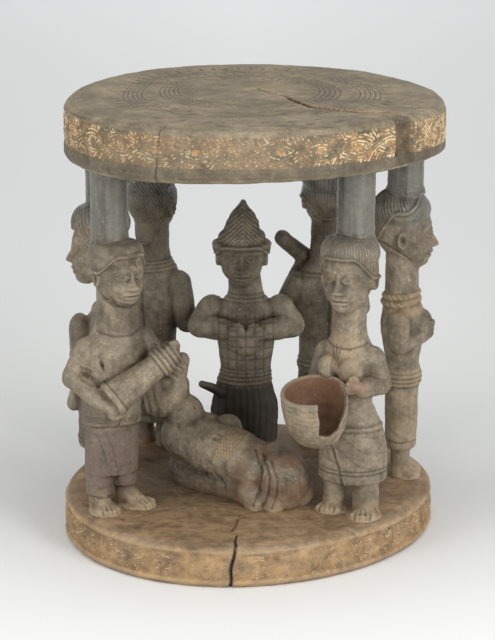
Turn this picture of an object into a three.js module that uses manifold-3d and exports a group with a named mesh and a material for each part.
import * as THREE from 'three';
import { mergeVertices } from 'three/addons/utils/BufferGeometryUtils.js';
import Module from 'manifold-3d';

const wasm = await Module();
wasm.setup();

// Altar stool carved from one block of wood, in millimetres.
// +Z is up, the front faces -Y, and the origin is under the middle of the base.
const HEIGHT = 521;
const BASE_TOP = 50;
const BASE_RADIUS = 221;
const SEAT_RADIUS = 217;
const SEAT_THICKNESS = 58;
const SEAT_SHIFT = [5, 0];
const BAND_DEPTH = 2.2;
const COLUMN_RADIUS = 21.5;
const BOWL_RADIUS = 38;
const BOWL_WALL = 5;
const BOWL_DEPTH = 66;
const rad = THREE.MathUtils.degToRad;

// A bump of the outline around one direction, in degrees.
function bump(angle, centre, width, height) {
  const away = Math.atan2(Math.sin(angle - rad(centre)), Math.cos(angle - rad(centre)));
  return height * Math.exp(-((away / rad(width)) ** 2));
}

// The carver's discs are not quite round: both bulge a little here and there.
function seatOutline(angle) {
  let r = SEAT_RADIUS + 4 * Math.cos(3 * angle) - 3 * Math.sin(3 * angle);
  r += bump(angle, 52, 16, 7) + bump(angle, 196, 14, 4) + bump(angle, -18, 10, 5);
  return r;
}

function baseOutline(angle) {
  return BASE_RADIUS + 8 * Math.sin(2 * angle) + 2 * Math.cos(3 * angle);
}

// The seat is thicker along its left edge, so its underside drops there.
function seatUnderside(angle) {
  return HEIGHT - SEAT_THICKNESS - bump(angle, 205, 45, 9);
}

// Turns a closed three.js geometry into a solid with its faces outwards.
function solid(geometry) {
  const bare = geometry.index ? geometry.clone() : geometry;
  bare.deleteAttribute('normal');
  bare.deleteAttribute('uv');
  const merged = mergeVertices(bare, 1e-3);
  const vertices = merged.getAttribute('position').array;
  const indices = Uint32Array.from(merged.index.array);
  const kept = [];
  let volume = 0;
  const a = new THREE.Vector3();
  const b = new THREE.Vector3();
  const c = new THREE.Vector3();
  for (let i = 0; i < indices.length; i += 3) {
    const [p, q, r] = [indices[i], indices[i + 1], indices[i + 2]];
    if (p !== q && q !== r && r !== p) {
      kept.push(p, q, r);
      a.fromArray(vertices, 3 * p);
      b.fromArray(vertices, 3 * q);
      c.fromArray(vertices, 3 * r);
      volume += a.dot(b.cross(c));
    }
  }
  if (volume < 0) {
    for (let i = 0; i < kept.length; i += 3) {
      [kept[i], kept[i + 1]] = [kept[i + 1], kept[i]];
    }
  }
  const mesh = new wasm.Mesh({
    numProp: 3,
    vertProperties: Float32Array.from(vertices),
    triVerts: Uint32Array.from(kept),
  });
  return new wasm.Manifold(mesh);
}

// An ellipsoid: centre, radii, and an optional lean about X and Y in degrees.
function ball(centre, radii, lean = [0, 0], across = 6, up = 4) {
  const g = new THREE.SphereGeometry(1, across, up);
  g.rotateX(Math.PI / 2);
  g.scale(...radii);
  g.rotateX(rad(lean[0]));
  g.rotateY(rad(lean[1]));
  g.translate(...centre);
  return g;
}

// A lathe with unit rings, one per row, whose points place(row, x, y) moves.
function rows(count, sides, place) {
  const profile = [new THREE.Vector2(0, 0)];
  for (let i = 0; i < count; i += 1) {
    profile.push(new THREE.Vector2(1, i));
  }
  profile.push(new THREE.Vector2(0, count - 1));
  const g = new THREE.LatheGeometry(profile, sides);
  const p = g.getAttribute('position');
  for (let i = 0; i < p.count; i += 1) {
    const u = Math.round(p.getX(i) * 1e5) / 1e5;
    const v = Math.round(p.getZ(i) * 1e5) / 1e5;
    const at = place(Math.round(p.getY(i)), u, v);
    p.setXYZ(i, at.x, at.y, at.z);
  }
  return g;
}

// A body through elliptic sections: each is [z, half width, half depth, x, y, turn].
function loft(sections, sides = 9) {
  return rows(sections.length, sides, (row, u, v) => {
    const [z, rx, ry, x = 0, y = 0, turn = 0] = sections[row];
    const c = Math.cos(rad(turn));
    const s = Math.sin(rad(turn));
    return new THREE.Vector3(x + c * rx * u - s * ry * v, y + s * rx * u + c * ry * v, z);
  });
}

// A limb that bends through a list of points, with a radius at each.
function limb(points, radii, sides = 6) {
  const path = points.map((p) => new THREE.Vector3(...p));
  const last = path.length - 1;
  const rings = [];
  for (let i = 0; i < last; i += 1) {
    const along = path[i + 1].clone().sub(path[i]).normalize();
    const start = i === 0 ? -0.6 : 0.35;
    const stop = i + 1 === last ? 0.6 : -0.35;
    rings.push([path[i].clone().addScaledVector(along, start * radii[i]), along, radii[i]]);
    rings.push([path[i + 1].clone().addScaledVector(along, stop * radii[i + 1]), along, radii[i + 1]]);
  }
  const side = new THREE.Vector3(0.31, 0.17, 0.94);
  return rows(rings.length, sides, (row, u, v) => {
    const [centre, along, r] = rings[row];
    const across = side.clone().cross(along).normalize();
    const up = along.clone().cross(across);
    return centre.clone().addScaledVector(across, u * r).addScaledVector(up, v * r);
  });
}

// A thick disc with the outline r(angle): each ring is [inset, z or z(angle)].
function disc(outline, rings, sides = 40) {
  return rows(rings.length, sides, (row, u, v) => {
    const angle = u === 0 && v === 0 ? 0 : Math.atan2(v, u);
    const [inset, level] = rings[row];
    const z = typeof level === 'function' ? level(angle) : level;
    const r = (outline(angle) - inset) * Math.hypot(u, v);
    return new THREE.Vector3(r * Math.cos(angle), r * Math.sin(angle), z);
  });
}

// A prism from a flat polygon [x, y] between two heights.
function prism(points, low, high) {
  const shape = new THREE.Shape(points.map(([x, y]) => new THREE.Vector2(x, y)));
  const g = new THREE.ExtrudeGeometry(shape, { depth: high - low, bevelEnabled: false });
  g.translate(0, 0, low);
  return g;
}

// Sets a figure's pieces on the base, turned about the vertical.
function stand(pieces, [x, y], turn) {
  for (const g of pieces) {
    g.rotateZ(rad(turn));
    g.translate(x, y, BASE_TOP);
  }
  return pieces;
}

// Sections of a head from under the chin to the crown, face to -Y before the look.
// hair is [half width, half depth, height over the head's middle].
function head(z, [rx, ry, rz], hair, look = 0, x = 0, y = -4) {
  const [hx, hy, hz] = hair;
  const ring = (up, wide, deep, forward, w = rx, d = ry) => {
    const f = forward * ry;
    return [z + up, wide * w, deep * d, x + f * Math.sin(rad(look)), y - f * Math.cos(rad(look)), look];
  };
  return [
    ring(-0.9 * rz, 0.66, 0.68, 0.18),
    ring(-0.6 * rz, 0.8, 0.84, 0.15),
    ring(-0.2 * rz, 0.94, 0.94, 0.04),
    ring(0.25 * rz, 1, 1, 0),
    ring(0.36 * rz, 1, 1, -0.04, hx, hy),
    ring(hz - 12, 0.93, 0.94, -0.08, hx, hy),
    ring(hz - 3, 0.78, 0.8, -0.14, hx, hy),
  ];
}

// The round column from the crown of a head up into the seat.
function column(x, y, from) {
  const top = HEIGHT - BASE_TOP - SEAT_THICKNESS + 14;
  return [[from, COLUMN_RADIUS, COLUMN_RADIUS, x, y], [top, COLUMN_RADIUS, COLUMN_RADIUS, x, y]];
}

function foot(x, y, turn, length = 26, width = 12) {
  const g = ball([0, -0.55 * length, 4], [width, length, 11], [0, 0], 5, 3);
  g.rotateZ(rad(turn));
  g.translate(x, y, 0);
  return g;
}

function leg(x, y, width, depth, top) {
  return loft([[-2, width, depth, x, y], [top, width - 1, depth - 1, x, y]], 6);
}

// A raised roll, such as a belt or a bead row, as sections that step out and back in.
function roll(low, high, rx, ry, proud, x = 0, y = 0) {
  return [[low, rx, ry, x, y], [(low + high) / 2, rx + proud, ry + proud, x, y], [high, rx, ry, x, y]];
}

// A plain nose, from the brow down to the tip, and two plain ears.
function nose(z, [rx, ry, rz], look = 0, x = 0, y = -4) {
  const at = (up, wide, deep, forward) => [z + up * rz, wide * rx, deep * ry,
    x + forward * ry * Math.sin(rad(look)), y - forward * ry * Math.cos(rad(look)), look];
  return loft([at(-0.3, 0.2, 0.2, 0.92), at(0.14, 0.08, 0.12, 0.88)], 4);
}

function ears(z, [rx, ry, rz], look = 0, x = 0, y = -4) {
  return [-1, 1].map((side) => {
    const g = ball([side * 0.98 * rx, 0, 0], [0.16 * rx, 0.2 * ry, 0.27 * rz], [0, 0], 5, 3);
    g.rotateZ(rad(look));
    g.translate(x, y, z - 0.04 * rz);
    return g;
  });
}

// Man at the front left, with a conical drum under his arms.
function drummer() {
  const drum = loft([[0, 21.5, 21.5], [6, 21.5, 21.5], [8, 20, 20], [60, 14.5, 14.5],
    ...roll(67, 82, 14.5, 14.5, 2.5), [92, 15, 15]], 9);
  const from = new THREE.Vector3(-24, -39, 141);
  const to = new THREE.Vector3(54, -45, 192);
  const turn = new THREE.Quaternion();
  turn.setFromUnitVectors(new THREE.Vector3(0, 0, 1), to.clone().sub(from).normalize());
  drum.applyQuaternion(turn);
  drum.translate(...from);
  const face = [280, [28.5, 33, 37]];
  return stand([
    loft([[42, 32, 24, -7, 3], [98, 32, 26, -7, 3], [101, 35, 28.5, -6.5, 3], [126, 33.5, 28, -5, 2],
      [150, 35, 28.5, -4, 2], [178, 38, 28.5, -3, 1], [195, 38, 26, -2, 0], [207, 32, 24, 0, 1],
      [217, 27.5, 22, 2, 2], [236, 25, 21, 3, 2], ...head(...face, [31, 35, 34], 8, 2, -6),
      ...column(-4, 5, 317)], 9),
    nose(...face, 8, 2, -6),
    loft([[15, 16, 17, -23, 3], [60, 15, 17, -22, 3]], 7),
    loft([[22, 15, 16, 9, 5], [60, 14, 15, 8, 4]], 7),
    leg(-23, 3, 13, 15, 30),
    leg(10, 5, 12, 14, 34),
    foot(-23, 2, -4, 24, 13),
    foot(10, 4, 26, 25, 13),
    limb([[-34, 4, 192], [-51, 8, 160], [-26, -32, 138]], [15.5, 13.5, 10]),
    limb([[33, -2, 198], [48, -12, 176], [52, -36, 186]], [14, 11.5, 9]),
    limb([[-20, -40, 160], [18, -40, 179]], [6, 5], 5),
    drum,
  ], [-151, -83], 26);
}

// Woman at the front right, with a broken bowl in front of her.
function bowlBearer() {
  const face = [284, [31, 35, 41]];
  return stand([
    loft([[42, 39, 33, 6, 2], [72, 39.5, 33.5, 6, 2], [104, 37, 31, 4, 1, -6], [107, 40, 34, 4, 1, -6],
      [112, 37, 31, 3, 1, -7], [124, 31, 25, 2, 0, -10], [138, 28, 22, 0, 0, -17],
      [160, 31, 24, 0, 0, -17], [182, 33, 24, 0, 0, -17], [194, 32, 23, 0, 0, -17],
      [205, 26, 21, 0, 0, -14], [215, 21.5, 19.5], [240, 20, 19], ...head(...face, [33, 36, 40], -14, 0, -6),
      ...column(5, 6, 326)], 9),
    nose(...face, -14, 0, -6),
    ...ears(...face, -14, 0, -6),
    ball([-20, -17, 180], [14, 14, 15]),
    ball([6, -23, 177], [15, 14, 16]),
    leg(-18, 16, 11, 13, 46),
    leg(20, 8, 14, 15, 46),
    foot(-18, 16, -8, 18, 12),
    foot(20, 8, 4, 25, 14),
    limb([[29, -6, 190], [37, -4, 160], [18, -38, 164]], [14, 13, 10]),
    limb([[-27, 8, 190], [-36, 4, 164], [-40, -10, 147]], [14, 12, 10]),
  ], [116, -108], -12);
}

// The bowl: a deep cup, tilted, with a wedge broken out of its front right wall.
const BOWL_CENTRE = [74, -158, 214];
const BOWL_LEAN = [11, -6];

function bowl() {
  const outer = [[0, -BOWL_DEPTH], [16, -BOWL_DEPTH], [27, -0.88 * BOWL_DEPTH],
    [35, -0.6 * BOWL_DEPTH], [BOWL_RADIUS, -0.25 * BOWL_DEPTH], [BOWL_RADIUS, -1],
    [BOWL_RADIUS - 1.5, 0], [BOWL_RADIUS - BOWL_WALL + 1, 0]];
  const inner = outer.slice(1, 6).reverse();
  const profile = outer.concat(
    inner.map(([r, z]) => [r - BOWL_WALL, Math.min(z + BOWL_WALL, -2)]),
    [[0, BOWL_WALL - BOWL_DEPTH]],
  );
  const points = profile.map(([r, z]) => new THREE.Vector2(r, z));
  const cup = new THREE.LatheGeometry(points, 15);
  cup.rotateX(Math.PI / 2);
  const wedge = prism([[-4, 16], [41, 16], [36, -4], [24, -31], [8, -46], [-4, -41]], 0, 60);
  wedge.rotateX(Math.PI / 2);
  wedge.translate(0, -6, 0);
  wedge.rotateZ(rad(10));
  const move = (g) => {
    g.rotateX(rad(BOWL_LEAN[0]));
    g.rotateY(rad(BOWL_LEAN[1]));
    g.translate(...BOWL_CENTRE);
    return g;
  };
  return { cup: move(cup), wedge: move(wedge) };
}

// Woman at the right side, seen in profile, with folded arms and bead rows.
function rightBearer() {
  const face = [300, [30, 35, 43]];
  return stand([
    loft([[34, 21, 17], [37, 22.5, 18.5], [70, 24, 19.5], [110, 25, 20.5], ...roll(118, 132, 25.5, 21, 3.5),
      [142, 25, 20], [165, 30, 24], [190, 34, 27], [206, 33, 25], [213, 28, 22, 0, 2],
      ...roll(216, 230, 22, 20.5, 3, 0, 2), [256, 20, 19.5, 0, 2], ...head(...face, [31, 36, 50], 0, 0, 0),
      ...column(0, 0, 352)], 9),
    nose(...face, 0, 0, 0),
    ...ears(...face, 0, 0, 0),
    ball([-13, -22, 188], [14, 13, 17]),
    ball([13, -22, 188], [14, 13, 17]),
    leg(-10, 0, 11, 12, 40),
    leg(10, 0, 11, 12, 40),
    foot(-10, 0, -6, 15, 10),
    foot(10, 0, 6, 15, 10),
    limb([[-33, 3, 200], [-37, 3, 172], [-12, -27, 180]], [13.5, 11.5, 9]),
    limb([[33, 3, 200], [37, 3, 172], [12, -27, 180]], [13.5, 11.5, 9]),
  ], [186, 24], 84);
}

// Man at the left side, who shoulders a broad blade.
function leftBearer() {
  const face = [279, [29, 33, 46]];
  return stand([
    loft([[34, 31, 27, 0, 5], [66, 31, 26, 0, 5], ...roll(114, 124, 29, 23, 3, 0, 6),
      [150, 31, 24, 0, 8], [188, 35, 24, 0, 12], [204, 28, 20, 0, 18],
      [216, 21, 19, 0, 21], [230, 20, 19, 0, 21], ...head(...face, [31, 35, 48], 0, 0, 6),
      ...column(0, 14, 333)], 9),
    nose(...face, 0, 0, 6),
    leg(-13, 8, 12, 13, 40),
    leg(13, 8, 12, 13, 40),
    foot(-13, 14, -6, 14, 11),
    foot(13, 14, 6, 14, 11),
    limb([[-33, 8, 194], [-39, 8, 158], [-14, -22, 130]], [13, 11, 9]),
    limb([[33, 8, 194], [39, 4, 160], [8, -22, 150]], [13, 11, 9], 5),
    limb([[-6, -27, 84], [-4, -26, 100], [4, -24, 150]], [9, 6, 7], 5),
    loft([[138, 8, 6, 6, -20], [180, 19, 8, 12, -22], [197, 12, 5, 14, -26]], 6),
  ], [-184, 32], -88);
}

// Woman at the back left, seen from behind, with a combed head of hair.
function backLeftBearer() {
  const face = [310, [28.5, 35, 42]];
  return stand([
    loft([[34, 36, 30], [96, 37.5, 30], ...roll(111, 120, 33.5, 27.5, 3),
      [134, 29, 23], [160, 32, 24], [200, 40, 29], [216, 39, 28],
      ...roll(228, 240, 23.5, 21.5, 3), [268, 20, 19], ...head(...face, [31, 36, 50], 0, 3, -4),
      ...column(0, 0, 364)], 9),
    nose(...face, 0, 3, -4),
    leg(-16, 0, 13, 14, 40),
    leg(16, 0, 13, 14, 40),
    foot(-16, 0, -8, 22, 12),
    foot(16, 0, 8, 22, 12),
    ball([-14, -22, 198], [13, 12, 14], [0, 0], 5, 3),
    ball([14, -22, 198], [13, 12, 14], [0, 0], 5, 3),
    limb([[-37, 2, 214], [-47, 0, 164], [-14, -31, 172]], [16, 13.5, 9.5], 5),
    limb([[37, 2, 214], [47, 0, 164], [14, -31, 172]], [16, 13.5, 9.5], 5),
  ], [-117, 138], 152);
}

// Man at the back right, seen from behind, with a raised club.
function backRightBearer() {
  const face = [314, [26, 33, 40]];
  return stand([
    loft([[42, 33, 25], [60, 34, 27], [95, 32, 26], [98, 35, 29], [104, 35, 29], [107, 32, 26],
      [140, 31.5, 25.5], [192, 42, 28], [214, 39, 26], [228, 27, 21], [240, 19, 19],
      [272, 16.5, 17], ...head(...face, [28, 34, 46], 0, 0, -4), ...column(0, 0, 364)], 9),
    nose(...face, 0, 0, -4),
    loft([[15, 16, 17, -17, 0], [60, 16, 18, -15, 0]], 7),
    loft([[15, 16, 17, 17, 0], [60, 16, 18, 15, 0]], 7),
    leg(-17, 0, 13, 14, 30),
    leg(17, 0, 13, 14, 30),
    foot(-17, 0, -8, 22, 12),
    foot(17, 0, 8, 22, 12),
    limb([[-38, 2, 214], [-47, 2, 172], [-16, -31, 164]], [13.5, 12, 9], 5),
    limb([[34, 2, 206], [44, -4, 190], [24, -15, 226]], [16, 14, 11]),
    limb([[0, -20, 218], [52, -13, 264]], [10, 10]),
  ], [96, 148], -168);
}

// Standing figure in the middle, free of the seat, with a pointed, stepped crest.
function crestedFigure() {
  const face = [256, [29, 32, 36]];
  const steps = [[277, 29, 30], [290, 23, 24], [303, 17, 18], [315, 11, 12]];
  const crest = steps.flatMap(([z, rx, ry]) => [[z, rx, ry, -4.5, -1], [z + 10, rx - 3, ry - 3, -4.5, -1]]);
  return stand([
    loft([[14, 38, 25, -2, 0], [20, 41, 28, -2, 0], [60, 42, 28, -2, 0], [95, 34, 26, -2, 0],
      ...roll(99, 112, 32, 24.5, 3), [140, 34, 25], [166, 38, 26], [186, 39, 24], [198, 32, 21],
      ...roll(203, 210, 22, 19, 2.5, -2), [224, 19, 19, -4, 0],
      ...head(...face, [33, 34, 22], 0, -5, -6).slice(0, 5), [273, 33, 33, -5, -3], ...crest,
      [329, 2, 2, -3, 0]], 9),
    nose(...face, 0, -5, -6),
    leg(-20, 0, 13, 14, 30),
    leg(16, 0, 13, 14, 30),
    foot(-20, 0, -6, 20, 12),
    foot(16, 0, 6, 20, 12),
    limb([[-42, 0, 190], [-56, -6, 170], [-16, -42, 171]], [17, 16, 11]),
    limb([[42, 0, 190], [56, -6, 170], [16, -42, 171]], [17, 16, 11]),
    ball([0, -42, 161], [22, 16, 20]),
    limb([[-24, -14, 84], [-54, -18, 98]], [8, 5], 5),
  ], [-2, 88], 0);
}

// Bowed figure on the base between the two front bearers.
function bowedFigure() {
  return stand([
    ball([-96, -4, 111], [25, 27, 32], [-18, 28], 8, 5),
    limb([[-88, -6, 126], [-77, -12, 156]], [15, 10]),
    limb([[-78, -14, 88], [-70, -14, 62], [-40, -36, 50], [-12, -54, 46], [14, -70, 36]],
      [24, 31, 33, 32, 32], 8),
    limb([[-66, -8, 12], [-18, -42, 14], [22, -74, 14]], [24, 23, 22], 7),
    ball([42, -88, 31], [32, 28, 37], [0, 0], 8, 5),
    ball([-48, -20, 78], [17, 16, 13], [0, 0], 6, 3),
    ball([-24, -24, 76], [17, 16, 14], [0, 0], 6, 3),
    limb([[60, -80, 14], [36, -66, 10]], [19, 18]),
  ], [0, 0], 0);
}

// The crack and the repair recess of the seat.
function seatCuts() {
  const crack = prism([[11, 39], [28, 13], [46, -8], [61, -43], [75, -68], [90, -79], [107, -92],
    [125, -99], [147, -103], [166, -98], [163, -109], [146, -113], [121, -108], [101, -101], [82, -86],
    [66, -74], [53, -46], [41, -10], [25, 10]], HEIGHT - 9, HEIGHT + 4);
  const recess = prism([[156, -142], [175, -119], [196, -134], [175, -160]], HEIGHT - 54, HEIGHT + 4);
  return [solid(crack), solid(recess)];
}

function baseCrack() {
  const g = prism([[-16, -206], [-13, -205], [-13, -240], [-20, -240]], -4, BASE_TOP + 4);
  return solid(g);
}

function carve() {
  const seat = disc(seatOutline, [
    [9, seatUnderside],
    [1, (a) => seatUnderside(a) + 7],
    [0, HEIGHT - 43],
    [BAND_DEPTH, HEIGHT - 41],
    [BAND_DEPTH, HEIGHT - 9],
    [0, HEIGHT - 7],
    [4, HEIGHT - 2.5],
    [14, HEIGHT],
  ]);
  seat.translate(...SEAT_SHIFT, 0);
  const base = disc(baseOutline, [
    [4, 0],
    [0, 5],
    [0, 8],
    [BAND_DEPTH, 10],
    [BAND_DEPTH, BASE_TOP - 11],
    [0, BASE_TOP - 9],
    [6, BASE_TOP - 2],
    [14, BASE_TOP],
  ]);
  let stool = solid(seat);
  for (const cut of seatCuts()) {
    stool = stool.subtract(cut);
  }
  stool = stool.add(solid(base).subtract(baseCrack()));
  const figures = [drummer, bowlBearer, rightBearer, leftBearer, backLeftBearer, backRightBearer,
    crestedFigure, bowedFigure];
  for (const figure of figures) {
    for (const g of figure()) {
      stool = stool.add(solid(g));
    }
  }
  const { cup, wedge } = bowl();
  const broken = solid(cup).subtract(solid(wedge));
  const room = new THREE.CylinderGeometry(BOWL_RADIUS - BOWL_WALL - 1, BOWL_RADIUS - BOWL_WALL - 4,
    BOWL_DEPTH * 0.72, 20);
  room.rotateX(Math.PI / 2);
  room.translate(0, 0, -BOWL_DEPTH * 0.36 + 1);
  room.rotateX(rad(BOWL_LEAN[0]));
  room.rotateY(rad(BOWL_LEAN[1]));
  room.translate(...BOWL_CENTRE);
  return stool.subtract(solid(room)).add(broken);
}

const result = carve().getMesh();
const geometry = new THREE.BufferGeometry();
geometry.setAttribute('position', new THREE.BufferAttribute(Float32Array.from(result.vertProperties), 3));
geometry.setIndex(Array.from(result.triVerts));
geometry.computeVertexNormals();

const wood = new THREE.MeshStandardMaterial({ color: 0x6b5c4c, roughness: 0.62, metalness: 0 });
const stool = new THREE.Mesh(geometry, wood);
stool.name = 'stool';
const group = new THREE.Group();
group.name = 'altar_stool';
group.add(stool);

export default group;
